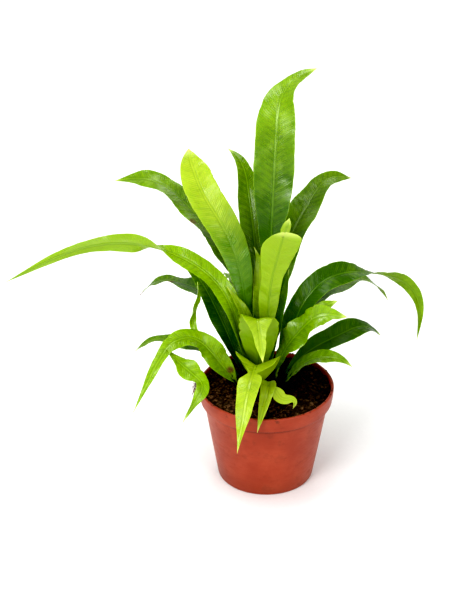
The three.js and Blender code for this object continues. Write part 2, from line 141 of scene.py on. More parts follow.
# Worn edges. Depths are shares of the half width, and pitches and breadths are in mm.
EDGE_KEEPS = 0.985
UNEVEN = [(0.015, 9), (0.008, 2.6)]  # each: a depth and a pitch
DENTS_EVERY = (34, 11)  # on a whole and on a torn edge
DENTED = (0.2, 0.97)  # the stretch of a frond that has dents
DENT_DEPTH, TORN_DEPTH = (0.02, 0.05), 0.16
DENT_BREADTH = (1.2, 3.5)
DENT_ENDS = (0.7, 2.2)  # a dent deepens slowly and ends steeply
PALE_TIP = 9  # mm

PLAIN = dict(
    whorl=2,
    root=None,  # degrees round the crown, where that isn't the azimuth
    stalk=1.3,  # half the thickness at the root
    stalk_fold=40,
    roll=0,
    opening=0.7,  # below 1 the blade opens out sooner and its base is broader
    fold=16,  # degrees that each half rises from the rib
    waists=[],  # each: place, depth and breadth of a narrowing
    left_slope=(0.9, 0),  # where the left edge starts to slope in, and the share it loses
    bends=[],  # each: place and stretch as shares of the length, and droop, sweep and twist
    forks=[],
    ragged=0,  # how torn the edges are, from 0 to 1
    spots=[],  # brown patches: each a share of the length, a place across and a radius in mm
    deep_and_shade=0.35,  # how much darker its lower half is, from 0 to 1: partly a deeper green and partly painted shade
    young=False,
)
FORK = dict(
    blade=(0.05, 0.35, 1.4),
    opening=1,
    wave=(1, 2, 0),
    fold=10,
    stalk=0.6,
    stalk_fold=12,
)

# Each frond as the solids have it, and its tone: 0 is the darkest green and 1 the brightest. A tone
# holds the frond's own green and also painted light: the lowest, as on 07 and 13, are painted shade on
# fronds that stand in shade, and 12's is raised for a painted sheen.
FRONDS = dict(
    frond_01_tall_left=dict(
        young=True, whorl=1, root=153, azimuth=155, rise=84, roll=-50, length=223, width=30,
        blade=(0.12, 0.72, 5), opening=1, wave=(1.5, 3, 0.1), tone=0.9, deep_and_shade=1.1,
        bends=[(0.58, 0.5, 38, -6, 10), (0.8, 0.2, 0, -30, 20), (0.97, 0.1, -40, 0, 0)],
    ),
    frond_02_front_upright=dict(
        young=True, whorl=0, root=-68, azimuth=-54, rise=88, roll=-34, length=161, width=33, tone=0.7,
        blade=(0.1, 0.9, 7), opening=1, fold=12, wave=(1.2, 2, 0.3), waists=[(0.66, 0.3, 0.13)],
        bends=[(0.6, 0.5, 17, 0, 0)], left_slope=(0.86, 0.75),
        forks=[dict(start=0.96, turn=8, length=21, width=8.5, blade=(0, 0.4, 2))],
    ),
    frond_03_tall_back=dict(
        whorl=0, root=62, azimuth=82, rise=78, length=291, width=37,
        blade=(0.2, 0.66, 2.8), opening=1, wave=(1.6, 5, 0), tone=0.55, deep_and_shade=0.7,
        bends=[(0.5, 0.6, 4, 0, -6), (0.87, 0.22, 52, -66, 18)],
    ),
    frond_04_long_left=dict(
        whorl=1, root=187, azimuth=179, rise=77, roll=-45, length=303, width=21, tone=0.8,
        blade=(0.02, 0.4, 1.6), opening=0.6, wave=(1.6, 4, 0.4), waists=[(0.53, 0.3, 0.06)], deep_and_shade=0.1,
        bends=[(0.35, 0.35, 48, 12, 0), (0.55, 0.16, 5, 1, 130), (0.7, 0.46, 42, 13, 20)],
    ),
    frond_05_arching_right=dict(
        whorl=1, root=18, azimuth=22, rise=71, roll=34, length=253, width=24, tone=0.3,
        blade=(0.05, 0.28, 2), wave=(1.5, 4, 0.2), waists=[(0.64, 0.35, 0.05)],
        bends=[(0.4, 0.36, 85, 3, 0), (0.62, 0.3, 8, -2, -110), (0.8, 0.31, 72, -50, 0)],
    ),
    frond_06_waved_right=dict(
        whorl=1, root=-20, azimuth=-20, rise=79, roll=40, length=110, width=25,
        blade=(0.08, 0.5, 2.4), opening=1, wave=(3.4, 3.5, 0.2), tone=0.6, deep_and_shade=0.2, ragged=1,
        bends=[(0.34, 0.5, 26, 10, 10), (0.78, 0.3, 58, 0, 0)],
        forks=[dict(start=0.7, turn=38, length=30, width=13, bends=[(0.5, 0.8, 40, 0, 0)])],
    ),
    # Its tone of 0 is in part painted shade: it stands low behind 06, in shade.
    frond_07_low_right=dict(
        azimuth=22, rise=52, roll=25, length=123, width=23, blade=(0.08, 0.55, 2), tone=0, deep_and_shade=0.2,
        bends=[(0.25, 0.5, 42, 9, 0), (0.78, 0.3, 53, 4, 0)], wave=(1.6, 3, 0),
    ),
    frond_08_short_right=dict(
        azimuth=-12, rise=56, roll=20, length=80, width=16, blade=(0.08, 0.55, 1.8), tone=0.5, deep_and_shade=0.2,
        bends=[(0.5, 0.5, 50, -2, 0), (0.85, 0.3, 42, -6, 0)], wave=(1, 2, 0.5),
    ),
    frond_09_over_the_rim=dict(
        young=True, root=-106, azimuth=-99, rise=86, length=132, width=46, tone=0.85,
        blade=(0.07, 0.27, 0.8), opening=0.6, fold=30, wave=(2.6, 2.5, 0.6), deep_and_shade=0,
        waists=[(0.45, 0.72, 0.06)],
        bends=[(0.26, 0.26, 84, 0, 0), (0.56, 0.3, 62, -10, 0)],
    ),
    frond_10_small_front=dict(
        young=True, azimuth=-79, rise=74, length=78, width=14, tone=1, deep_and_shade=0,
        blade=(0.08, 0.45, 1.3), opening=1, wave=(0.8, 2, 0),
        bends=[(0.24, 0.34, 62, -12, 0), (0.52, 0.5, 62, -20, 0)],
        forks=[
            dict(
                start=0.42, turn=54, length=38, width=13,
                bends=[(0.15, 0.3, 40, 0, 20), (0.46, 0.29, -45, 52, 0), (0.75, 0.29, 116, -51, 0)],
            ),
        ],
    ),
    frond_11_folded_front=dict(
        young=True, whorl=1, root=-115, azimuth=-98, rise=86, length=118, width=38, tone=0.85, deep_and_shade=0.6,
        blade=(0.06, 0.58, 0.85), fold=18, wave=(1.6, 2, 0.2), waists=[(0.78, 0.3, 0.08)], ragged=0.7,
        bends=[(0.3, 0.5, 3, 0, 0), (0.64, 0.12, 120, 16, 0)],
    ),
    # Its tone is raised in part for a painted sheen.
    frond_12_forked_left=dict(
        whorl=3, root=-172, azimuth=-169, rise=57, roll=-64, length=160, width=23,
        spots=[(0.13, -0.3, 3)], tone=0.7, deep_and_shade=0, ragged=0.6,
        blade=(0.05, 0.26, 1.1), opening=0.6, wave=(2.2, 4, 0.3),
        bends=[(0.45, 0.37, 66, 26, 44), (0.59, 0.4, 37, 16, 0)],
        forks=[
            dict(
                start=0.62, turn=100, length=81, width=20, blade=(0, 0.3, 1.2), wave=(2, 3, 0),
                bends=[(0.15, 0.4, -5, 1, 36), (0.56, 0.25, 15, -100, -85)],
            ),
            dict(
                start=0.36, turn=-46, length=64, width=12, blade=(0.1, 0.6, 1.4),
                bends=[(0.3, 0.5, -60, 0, 60), (0.8, 0.3, 20, 0, 30)],
            ),
        ],
    ),
    # Its low tone is in part painted shade: it stands in shade behind 04.
    frond_13_shaded_left=dict(
        azimuth=152, rise=66, roll=-35, length=122, width=20, blade=(0.06, 0.55, 1.8), tone=0.15,
        bends=[(0.5, 0.6, 8, 0, 0), (0.86, 0.3, 36, 0, 0)], wave=(1.2, 3, 0),
    ),
    frond_14_slender_right=dict(
        young=True, whorl=0, root=0, azimuth=12, rise=80, length=110, width=12, tone=0.1,
        blade=(0.1, 0.6, 1.8), bends=[(0.6, 0.6, -3, 0, 20)], wave=(0.8, 3, 0.5),
    ),
    frond_15_back_right=dict(
        whorl=1, root=74, azimuth=68, rise=79, length=232, width=30,
        blade=(0.1, 0.6, 2.2), wave=(1.8, 4, 0.3), tone=0.35,
        bends=[(0.45, 0.6, 50, -10, 0), (0.86, 0.24, 50, -20, 30)],
    ),
    frond_16_back_left=dict(
        whorl=1, root=130, azimuth=131, rise=81, length=252, width=30, tone=0.5,
        blade=(0.1, 0.6, 2.2), opening=1, wave=(2, 5, 0.1), spots=[(0.62, 0.8, 3)],
        bends=[(0.4, 0.6, 50, 12, 0), (0.84, 0.3, 48, 20, -40)],
    ),
    frond_17_drooping_right=dict(
        azimuth=50, rise=58, length=190, width=24, blade=(0.08, 0.5, 1.8), tone=0.3,
        bends=[(0.36, 0.5, 60, -6, 0), (0.8, 0.4, 56, -12, 0)], wave=(2, 4, 0.7),
    ),
    frond_18_drooping_back=dict(
        azimuth=80, rise=62, length=178, width=26, blade=(0.08, 0.5, 1.6), tone=0.45, ragged=0.5,
        spots=[(0.5, -0.7, 4), (0.96, 0, 4)],
        bends=[(0.4, 0.5, 64, 8, 0), (0.82, 0.36, 50, 10, 20)], wave=(2.2, 4, 0),
    ),
    frond_19_forked_back=dict(
        azimuth=106, rise=58, length=150, width=21, blade=(0.08, 0.45, 1.6), tone=0.4, ragged=0.4,
        bends=[(0.45, 0.5, 60, 0, 0), (0.8, 0.3, 30, 0, 0)], wave=(2.4, 4, 0.4),
        forks=[dict(start=0.56, turn=-42, length=62, width=14, bends=[(0.4, 0.6, 60, -20, 0)])],
    ),
    frond_20_drooping_left=dict(
        azimuth=132, rise=60, length=182, width=24, blade=(0.08, 0.5, 1.7), tone=0.25,
        spots=[(0.7, 0.6, 3.5), (0.98, 0, 5)],
        bends=[(0.4, 0.5, 66, 6, 0), (0.82, 0.36, 46, 10, -20)], wave=(2, 4, 0.2),
    ),
    frond_21_young_left=dict(
        young=True, whorl=0, root=195, azimuth=181, rise=84, roll=-60, length=100, width=12,
        blade=(0.1, 0.6, 1.8), wave=(1, 2, 0.1), bends=[(0.6, 0.7, 26, 0, 20)], tone=0.6,
    ),
    frond_22_upright_back=dict(
        whorl=1, root=100, azimuth=102, rise=81, length=214, width=24, tone=0.4,
        blade=(0.1, 0.62, 2.2), opening=1, wave=(2, 4, 0.6),
        bends=[(0.5, 0.7, 24, 4, -10), (0.9, 0.2, 40, 30, 0)],
    ),
    frond_23_inner_back=dict(
        young=True, whorl=0, root=119, azimuth=98, rise=87, length=124, width=14, tone=0.6,
        blade=(0.1, 0.62, 2), wave=(1.4, 3, 0.3),
        bends=[(0.6, 0.6, 16, 0, 0), (0.9, 0.2, 40, 20, 20)],
    ),
    frond_24_low_left=dict(
        root=170, azimuth=172, rise=46, roll=-10, length=120, width=19, blade=(0.08, 0.5, 1.7),
        bends=[(0.4, 0.5, 46, -8, 0), (0.8, 0.3, 46, 0, 0)], wave=(1.8, 3, 0.8), tone=0.35,
    ),
)


# Small functions


def smooth(x):
    t = np.clip(x, 0, 1)
    return t * t * (3 - 2 * t)


def lerp(a, b, t):
    return a + (b - a) * t


def hump(x):
    return np.exp(-(x**2))


def unit(v):
    return v / np.linalg.norm(v, axis=-1, keepdims=True)


def spot(radius, turn, z=0, middle=(0, 0)):
    """The point at a radius and an angle round a middle."""
    return np.array([middle[0] + radius * math.cos(turn), middle[1] + radius * math.sin(turn), z])


def all_round(count):
    return np.arange(count) / count * 2 * np.pi


def ring(radius, turn, z):
    """Points or directions at angles round the Z axis, as rows."""
    return np.stack([radius * np.cos(turn), radius * np.sin(turn), 0 * turn + z], 1)


def wander(rng, along, pitch):
    """Smooth random numbers from -1 to 1 along a line, with a new one every pitch."""
    place = np.asarray(along) / pitch
    knots = rng.uniform(-1, 1, int(place.max()) + 2)
    i = np.floor(place).astype(int)
    return lerp(knots[i], knots[i + 1], smooth(place - i))


def quilt(rng, along, across, pitch):
    """Smooth random numbers from -1 to 1 over a blade, with a new one every pitch both ways."""
    x, y = along / pitch, (across - across.min()) / pitch
    knots = rng.uniform(-1, 1, (int(x.max()) + 2, int(y.max()) + 2))
    i, j = np.floor(x).astype(int), np.floor(y).astype(int)
    near = lerp(knots[i, j], knots[i + 1, j], smooth(x - i))
    far = lerp(knots[i, j + 1], knots[i + 1, j + 1], smooth(x - i))
    return lerp(near, far, smooth(y - j))


def add_object(name, data):
    made = bpy.data.objects.new(name, data)
    bpy.context.scene.collection.objects.link(made)
    return made


def plain_mesh(name, points, faces):
    """A mesh from points in mm."""
    mesh = bpy.data.meshes.new(name)
    mesh.from_pydata((np.asarray(points) * MM).tolist(), [], faces)
    return mesh


def mesh_object(name, points, faces, material, slot, vectors=None):
    """A smooth-shaded piece from points in mm, with vector attributes, that rides on the body."""
    mesh = plain_mesh(name, points, faces)
    mesh.polygons.foreach_set("use_smooth", [True] * len(mesh.polygons))
    for key, values in (vectors or {}).items():
        layer = mesh.attributes.new(key, "FLOAT_VECTOR", "POINT")
        layer.data.foreach_set("vector", np.asarray(values, dtype=np.float32).ravel())
    mesh.materials.append(material)
    piece = add_object(name, mesh)
    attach(piece, BODY)
    return piece


def joined(parts):
    """One list of points and one of faces from several (points, faces)."""
    points, faces, count = [], [], 0
    for some, own in parts:
        points.append(some)
        faces += [[i + count for i in face] for face in own]
        count += len(some)
    return np.concatenate(points), faces


def ring_quads(count, sides, first=0):
    """Faces between rings of points, the points' numbers ring by ring, and each one's neighbour."""
    index = first + np.arange(count).reshape(-1, sides)
    after = np.roll(index, -1, axis=1)
    quads = np.stack([index[:-1], after[:-1], after[1:], index[1:]], -1)
    return quads.reshape(-1, 4).tolist(), index, after


def tube_faces(count, sides):
    """Faces between rings of points, with the first and the last ring closed."""
    faces, index, _ = ring_quads(count, sides)
    return faces + [index[0, ::-1].tolist(), index[-1].tolist()]


# A material's nodes


class Shader:
    """A material with one Principled shader, and short calls for the nodes that feed it."""

    def __init__(self, name):
        self.material = bpy.data.materials.new(name)
        self.material.use_nodes = True
        self.tree = self.material.node_tree
        self.principled = self.tree.nodes["Principled BSDF"]

    def node(self, kind, inputs=(), **settings):
        made = self.tree.nodes.new(kind)
        for key, value in settings.items():
            setattr(made, key, value)
        for key, value in dict(inputs).items():
            self.feed(made.inputs[key], value)
        return made

    def feed(self, socket, value):
        if isinstance(value, bpy.types.NodeSocket):
            self.tree.links.new(value, socket)
        else:
            socket.default_value = value

    def math(self, operation, a, b=0.0, c=0.0, clamp=False):
        inputs = {0: a, 1: b, 2: c}
        return self.node("ShaderNodeMath", inputs, operation=operation, use_clamp=clamp).outputs[0]

    def times(self, first, *others):
        for other in others:
            first = self.math("MULTIPLY", first, other)
        return first

    def ramp(self, value, low, high, to_low=0.0, to_high=1.0):
        """value mapped smoothly from low..high to to_low..to_high."""
        inputs = {0: value, 1: low, 2: high, 3: to_low, 4: to_high}
        made = self.node("ShaderNodeMapRange", inputs, interpolation_type="SMOOTHSTEP")
        return made.outputs[0]

    def mix(self, factor, a, b):
        made = self.node("ShaderNodeMix", data_type="RGBA", clamp_factor=True)
        self.feed(made.inputs[0], factor)
        self.feed(made.inputs[6], a)
        self.feed(made.inputs[7], b)
        return made.outputs[2]

    def layered(self, colour, *layers):
        """A colour with others laid over it in turn, each given as its share and its colour."""
        for share, over in layers:
            colour = self.mix(share, colour, over)
        return colour

    def noise(self, where, scale, detail=3.0, roughness=0.55):
        inputs = {"Vector": where, "Scale": scale, "Detail": detail, "Roughness": roughness}
        return self.node("ShaderNodeTexNoise", inputs).outputs[0]

    def place(self):
        return self.node("ShaderNodeTexCoord").outputs["Object"]

    def parts(self, vector):
        return self.node("ShaderNodeSeparateXYZ", {0: vector}).outputs

    def attribute(self, name):
        made = self.node("ShaderNodeAttribute", attribute_name=name)
        return self.parts(made.outputs["Vector"])

    def bump(self, height, distance, strength=1.0, normal=None):
        inputs = {"Height": height, "Distance": distance, "Strength": strength}
        if normal is not None:
            inputs["Normal"] = normal
        return self.node("ShaderNodeBump", inputs).outputs[0]

    def finish(self, **sockets):
        for key, value in sockets.items():
            self.feed(self.principled.inputs[key.replace("_", " ")], value)
        return self.material


def rgb(red, green, blue):
    """A colour given in sRGB from 0 to 255, as the linear one that a shader takes."""
    linear = [
        c / 12.92 if c <= 0.04045 else ((c + 0.055) / 1.055) ** 2.4
        for c in (red / 255, green / 255, blue / 255)
    ]
    return (*linear, 1.0)


PALE_RIB = rgb(150, 190, 60)
PALE_MARGIN = rgb(170, 205, 60)
# The pale tip's colour: partly a young or dry tip's paleness, partly a painted highlight.
PALE_END_AND_HIGHLIGHT = rgb(212, 224, 132)
SCORCHED = rgb(104, 70, 34)
STALK_FOOT = rgb(52, 36, 18)
PEAT_DUST = rgb(58, 34, 22)


# Fronds


def angles_at(frond, s):
    """Rise, heading and twist in radians at shares s of the frond's length."""
    rise, heading, twist = (np.full_like(s, frond[key]) for key in ("rise", "azimuth", "roll"))
    for place, stretch, droop, sweep, turn in frond["bends"]:
        share = smooth((s - place) / stretch + 0.5)
        rise -= droop * share
        heading += sweep * share
        twist += turn * share
    return rise * DEG, heading * DEG, twist * DEG


def path_of(frond, root):
    """Points along the frond's rib, at equal steps of its length."""
    middle = (np.arange(PATH_STEPS) + 0.5) / PATH_STEPS
    rise, heading, _ = angles_at(frond, middle)
    direction = ring(np.cos(rise), heading, np.sin(rise))
    path = np.cumsum(direction * frond["length"] / PATH_STEPS, axis=0)
    return root + np.concatenate([np.zeros((1, 3)), path])


def point_at(path, s):
    at = np.linspace(0, 1, len(path))
    return np.stack([np.interp(s, at, path[:, k]) for k in range(3)], -1)


def half_width_at(frond, s):
    """Half the blade's width: a stalk, a swelling to the widest place and a taper to the tip."""
    starts, widest, fullness = frond["blade"]
    half = frond["width"] / 2
    opened = smooth(np.clip((s - starts) / (widest - starts), 0, 1) ** frond["opening"])
    opening = lerp(STALK_HALF_WIDTH, half, opened)
    closing = half * (1 - np.clip((s - widest) / (1 - widest), 0, 1) ** fullness)
    width = np.where(s < widest, opening, closing)
    for place, depth, breadth in frond["waists"]:
        width = width * (1 - depth * hump((s - place) / breadth))
    return np.maximum(width, TIP_HALF_WIDTH)


def edge_at(frond, along, rng):
    """How much of its width one side of a blade keeps at each cross-section: its worn outline."""
    keeps = EDGE_KEEPS
    for size, pitch in UNEVEN:
        keeps = keeps - size * wander(rng, along, pitch)
    dents = int(frond["length"] / lerp(*DENTS_EVERY, frond["ragged"]))
    for place in rng.uniform(*DENTED, dents) * frond["length"]:
        depth = rng.uniform(*DENT_DEPTH) + rng.uniform(0, TORN_DEPTH) * frond["ragged"]
        breadth = rng.uniform(*DENT_BREADTH)
        beyond = (along - place) / breadth
        before, after = DENT_ENDS
        keeps -= depth * np.exp(-np.where(beyond > 0, after, before) * np.abs(beyond))
    return np.clip(keeps, 0.4, 1)


def blade(frond, path, rng, begins=(0, 0)):
    """A closed blade as points, faces and three vectors a point: its place, its kind, and its wear with
    painted light.

    begins is the length and the share of its frond at which a fork's blade begins.
    """
    length = frond["length"]
    s = np.linspace(0, 1, int(length / ROW) + 1)
    along = s * length
    v = COLUMNS
    away = np.abs(v)
    hand = np.sign(v)
    rise, heading, twist = angles_at(frond, s)
    level = np.stack([-np.sin(heading), np.cos(heading), 0 * s], 1)
    lift = ring(-np.sin(rise), heading, np.cos(rise))
    cos, sin = np.cos(twist)[:, None], np.sin(twist)[:, None]
    side = level * cos + lift * sin
    up = lift * cos - level * sin

    # The outline, and how far the blade has opened and flattened along it.
    half = half_width_at(frond, s)
    left_edge, right_edge = (edge_at(frond, along, rng)[:, None] for _ in range(2))
    worn = np.where(v < 0, left_edge, right_edge)
    slopes_from, loss = frond["left_slope"]
    sloped = 1 - loss * np.clip((s - slopes_from) / (1 - slopes_from), 0, 1) ** SLOPE_CURVE
    reach = half[:, None] * worn * np.where(v < 0, sloped[:, None], 1)
    across = v * reach
    out = np.abs(across)
    starts = frond["blade"][0]
    opened = smooth((s - starts / 2) / OPENS_OVER)
    flattened = smooth((s - starts) / FLATTENS_OVER)[:, None]
    fold = (lerp(frond["stalk_fold"], frond["fold"], opened) * (1 - s / 2) * DEG)[:, None]

    # The edge wave of the solid, and the finer relief.
    height, count, phase = frond["wave"]
    full = (opened * np.minimum(1, half / FULL_WAVE_AT))[:, None]
    turns = count * s[:, None] + phase + WAVE_OFFSET * hand
    wave = height * full * away**WAVE_SPREAD * np.sin(2 * np.pi * turns)
    sway = VEIN_SWAY * wander(rng, along, SWAY_PITCH)[:, None]
    vein_line = along[:, None] - VEIN_SLANT * out + sway
    plait = np.sin(2 * np.pi * vein_line / PLAIT_PITCH)
    plait = wander(rng, along, PLAIT_CHANGES)[:, None] * plait
    plait += CREASE * np.sin(2 * np.pi * vein_line / CREASE_PITCH + CREASE_LAG * hand)
    grown = full * np.minimum(1, out / RELIEF_FROM_RIB)
    relief = PLAIT * grown * plait
    relief += QUILT * grown * quilt(rng, vein_line - vein_line.min(), across, QUILT_PITCH)
    left, right = (wander(rng, along, FLUTTER_PITCH[k])[:, None] for k in (-1, 1))
    relief += FLUTTER * full * away**FLUTTER_SPREAD * np.where(v < 0, left, right)

    # A rounded fold at the rib, a narrow raised rib above and a keel below.
    rounded_v = np.sqrt(away**2 + FOLD_ROUND**2) - FOLD_ROUND * (1 - away)
    raised = rounded_v * reach * np.sin(fold) + wave + relief
    centre = point_at(path, s)[:, None, :]
    middle = centre + side[:, None] * (across * np.cos(fold))[..., None]
    middle = middle + up[:, None] * raised[..., None]
    tilt = fold * np.tanh(v / FOLD_ROUND)
    normal = up[:, None] * np.cos(tilt)[..., None] - side[:, None] * np.sin(tilt)[..., None]
    stalk = lerp(frond["stalk"], STALK_END, smooth(s / OPENS_OVER))
    rib = lerp(stalk, RIB_END, smooth((s - 0.4) / 0.6))[:, None]
    margin = np.sqrt(np.clip(1 - away**6, 0, 1))
    thick = lerp(rib, SHEET, smooth(away * 1.8)) * (1 - flattened)
    thick = (thick + lerp(SHEET, SHEET_EDGE, away) * flattened) * margin
    fades = 1 - RIB_FADES * s[:, None]
    ridge = RIDGE * hump(out / RIDGE_BREADTH) - GROOVE * hump((out - GROOVE_AT) / GROOVE_BREADTH)
    keel = KEEL * hump(out / KEEL_BREADTH) * full
    top = middle + normal * (thick + ridge * fades * full)[..., None]
    bottom = middle - normal * (thick + keel * fades * margin)[..., None]

    rows, columns = len(s), len(v)
    upper = np.arange(rows * columns).reshape(rows, columns)
    lower = upper.copy()
    lower[:, 1:-1] = rows * columns + np.arange(rows * (columns - 2)).reshape(rows, columns - 2)
    quads = [
        np.stack([upper[:-1, :-1], upper[1:, :-1], upper[1:, 1:], upper[:-1, 1:]], -1),
        np.stack([lower[:-1, :-1], lower[:-1, 1:], lower[1:, 1:], lower[1:, :-1]], -1),
    ]
    faces = np.concatenate([q.reshape(-1, 4) for q in quads]).tolist()
    faces.append([*upper[0], *lower[0, -2:0:-1]])
    faces.append([*upper[-1, ::-1], *lower[-1, 1:-1]])
    points = np.concatenate([top.reshape(-1, 3), bottom[:, 1:-1].reshape(-1, 3)])

    def spread(values, below=None):
        """A value for each point, the upper face's and then the lower's, which may have its own."""
        pair = (values, values if below is None else below)
        over, under = (np.broadcast_to(some, across.shape) for some in pair)
        return np.concatenate([over.ravel(), under[:, 1:-1].ravel()])

    length_so_far = (begins[0] + along)[:, None]
    share_so_far = lerp(begins[1], 1, s)[:, None]
    where = np.stack([spread(across), spread(length_so_far), spread(share_so_far)], 1)
    kind = np.stack([spread(v), spread(1.0, 0.0), spread(frond["tone"])], 1)

    # Wear and painted light: brown patches and the browned edges of tears, how far along its tip each
    # point is, and how far its lower half darkens, partly a deeper green and partly painted shade.
    brown = np.zeros_like(across)
    for place, aside, radius in frond["spots"]:
        far = np.hypot(along[:, None] - place * length, across - aside * half.max())
        brown = np.maximum(brown, smooth(1.6 - far / radius))
    torn = 0.5 * smooth((0.92 - worn) / 0.1) * smooth((away - 0.8) / 0.2)
    tip = smooth((along - length + PALE_TIP) / PALE_TIP)
    wear_and_light = [spread(np.maximum(brown, torn)), spread(tip[:, None]), spread(frond["deep_and_shade"])]
    return points, faces, where, kind, np.stack(wear_and_light, 1)


def root_of(frond):
    radius, height = WHORLS[frond["whorl"]]
    at = (frond["azimuth"] if frond["root"] is None else frond["root"]) * DEG
    return spot(radius, at, height, CROWN["middle"])


def make_frond(name, frond, materials, rng):
    """A frond with its forks as one piece, which takes the place of its solid."""
    path = path_of(frond, root_of(frond))
    parts = [blade(frond, path, rng)]
    for fork in frond["forks"]:
        at = np.array([fork["start"]])
        rise, heading, twist = (angle[0] / DEG for angle in angles_at(frond, at))
        shared = {key: frond[key] for key in ("tone", "deep_and_shade", "ragged")}
        own = {**PLAIN, **FORK, **fork, **shared}
        own |= {"rise": rise, "azimuth": heading + fork["turn"], "roll": twist}
        begins = (fork["start"] * frond["length"], fork["start"])
        parts.append(blade(own, path_of(own, point_at(path, at)[0]), rng, begins))
    points, faces = joined([part[:2] for part in parts])
    vectors = {
        key: np.concatenate([part[k] for part in parts])
        for k, key in enumerate(("blade_place", "blade_kind", "blade_wear_and_light"), start=2)
    }
    slot = "young_frond" if frond["young"] else "mature_frond"
    piece = mesh_object(f"{name}_blade", points, faces, materials[slot], slot, vectors)
    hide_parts(name)


def frond_material(name, dark, bright, back, rough, rib_tint):
    """Living leaf: fine veins that leave the rib forwards, a paler back, a pale rib and margin."""
    shader = Shader(name)
    mix, noise, ramp, times = shader.mix, shader.noise, shader.ramp, shader.times
    across, along, share = shader.attribute("blade_place")
    v, upper, tone = shader.attribute("blade_kind")
    brown, tip, deep_and_shade = shader.attribute("blade_wear_and_light")
    out = shader.math("ABSOLUTE", across)
    place = shader.place()
    blotch = noise(place, 60, 2.0)
    grain = noise(place, 900, 3.0)

    # Fine veins two millimetres apart, which bend with a slow noise and fade outwards.
    slant = shader.math("MULTIPLY_ADD", out, -0.7, along)
    bent = shader.math("MULTIPLY_ADD", noise(place, 140, 1.0), 1.6, slant)
    veins = ramp(shader.math("SINE", times(bent, math.pi)), -0.2, 1.0)
    field = times(ramp(out, 0.8, 2.4), ramp(out, 12, 2, 0.35, 1.0))

    # The green's level: the frond's tone, blotches, bands along the veins and a darker lower half,
    # partly a deeper green and partly painted shade.
    bands = times(shader.math("SINE", times(bent, 1.05)), field)
    level = shader.math("MULTIPLY_ADD", shader.math("SUBTRACT", blotch, 0.5), 0.7, tone)
    level = shader.math("MULTIPLY_ADD", bands, 0.07, level)
    level = shader.math("MULTIPLY_ADD", ramp(share, 0.35, 0.95, -1.0, 0.0), deep_and_shade, level)
    level = shader.math("ADD", level, times(veins, 0.12), clamp=True)

    # The two faces, and over them the rib, painted shade in the grooves beside it and along the keel
    # below, the margin, the tip and the brown parts.
    under = shader.layered(
        back,
        (ramp(level, 0.7, 0.0, 0.0, 0.5), dark),
        (times(veins, 0.15), dark),
        # painted shade along the keel under the rib
        (ramp(out, 1.5, 0.7, 0.0, 0.28), dark),
    )
    patchy = times(brown, ramp(grain, 0.3, 0.55, 0.35, 1.0))
    colour = shader.layered(
        mix(upper, under, mix(level, dark, bright)),
        (ramp(out, 0.75, 0.3, 0.0, rib_tint), PALE_RIB),
        # painted shade in the grooves beside the rib
        (times(ramp(out, 0.7, 1.0), ramp(out, 1.9, 1.1), upper, 0.3), dark),
        (ramp(shader.math("ABSOLUTE", v), 0.955, 1.0, 0.0, 0.45), PALE_MARGIN),
        # pale tip: partly the tip's own paleness, partly a painted highlight
        (times(tip, 0.6), PALE_END_AND_HIGHLIGHT),
        (patchy, SCORCHED),
        (ramp(along, 12, 3), STALK_FOOT),
    )

    # The gloss goes in patches, is stronger on the upper face and weaker on the darkest fronds.
    height = shader.math("MULTIPLY_ADD", times(veins, field), 1.6, grain)
    sheen = ramp(blotch, 0.35, 0.65, rough - 0.06, rough + 0.06)
    shine = shader.math("SUBTRACT", sheen, times(upper, 0.1))
    shine = shader.math("MULTIPLY_ADD", patchy, 0.3, shine)
    return shader.finish(
        Base_Color=colour,
        Roughness=shine,
        Normal=shader.bump(height, 0.00008, 0.7),
        Subsurface_Weight=0.3,
        Subsurface_Scale=0.001,
        Subsurface_Radius=(0.7, 1.0, 0.12),
        Specular_IOR_Level=ramp(tone, 0.25, 0.6, 0.26, 0.5),
    )


# Pot


def rounded(corners, steps=5):
    """A profile from corners that are each a radius, a height and how far its rounding reaches."""
    points = []
    for i, (x, z, reach) in enumerate(corners):
        if not reach or i in (0, len(corners) - 1):
            points.append((x, z))
            continue
        here = np.array([x, z])
        ends = []
        for other in (corners[i - 1], corners[i + 1]):
            arm = np.array(other[:2]) - here
            span = np.linalg.norm(arm)
            ends.append(here + arm / span * min(reach, 0.48 * span))
        for t in np.linspace(0, 1, steps):
            point = (1 - t) ** 2 * ends[0] + 2 * t * (1 - t) * here + t * t * ends[1]
            points.append(tuple(point))
    return points


def split(profile, longest):
    """The profile with its long stretches split."""
    points = [profile[0]]
    for start, end in zip(profile, profile[1:]):
        parts = max(1, int(math.dist(start, end) / longest))
        for k in range(1, parts + 1):
            points.append(tuple(start + (np.array(end) - start) * k / parts))
    return points


def turned(profile, segments, wobble=None):
    """Points and faces of a profile turned round Z. Ends on the axis close to one point each."""
    turn = all_round(segments)
    off_axis = [(r, z) for r, z in profile if r > ON_AXIS]
    points = [ring(r + (wobble(turn, z) if wobble else 0), turn, z) for r, z in off_axis]
    faces, index, after = ring_quads(len(off_axis) * segments, segments)
    for end, here, there in ((profile[0], after[0], index[0]), (profile[-1], index[-1], after[-1])):
        if end[0] <= ON_AXIS:
            centre = sum(len(some) for some in points)
            points.append(np.array([[0, 0, end[1]]]))
            faces += [[a, b, centre] for a, b in zip(here, there)]
    return np.concatenate(points), faces


BAND_FOOT = POT["height"] - POT["band_height"]
BAND_RADIUS = POT["rim"] - POT["band_taper"]
BODY_RADIUS = BAND_RADIUS - POT["band_step"]
FLOOR = POT["wall"] + POT["hub_rise"]

# The inner wall behind the band, as radius and height at its foot and just under the lip.
INNER_FOOT = (
    BAND_RADIUS - POT["wall"] - POT["band_thicker"],
    BAND_FOOT + POT["wall"] + POT["chamfer"],
)
INNER_LIP = (POT["rim"] - POT["lip"], POT["height"] - POT["chamfer"])


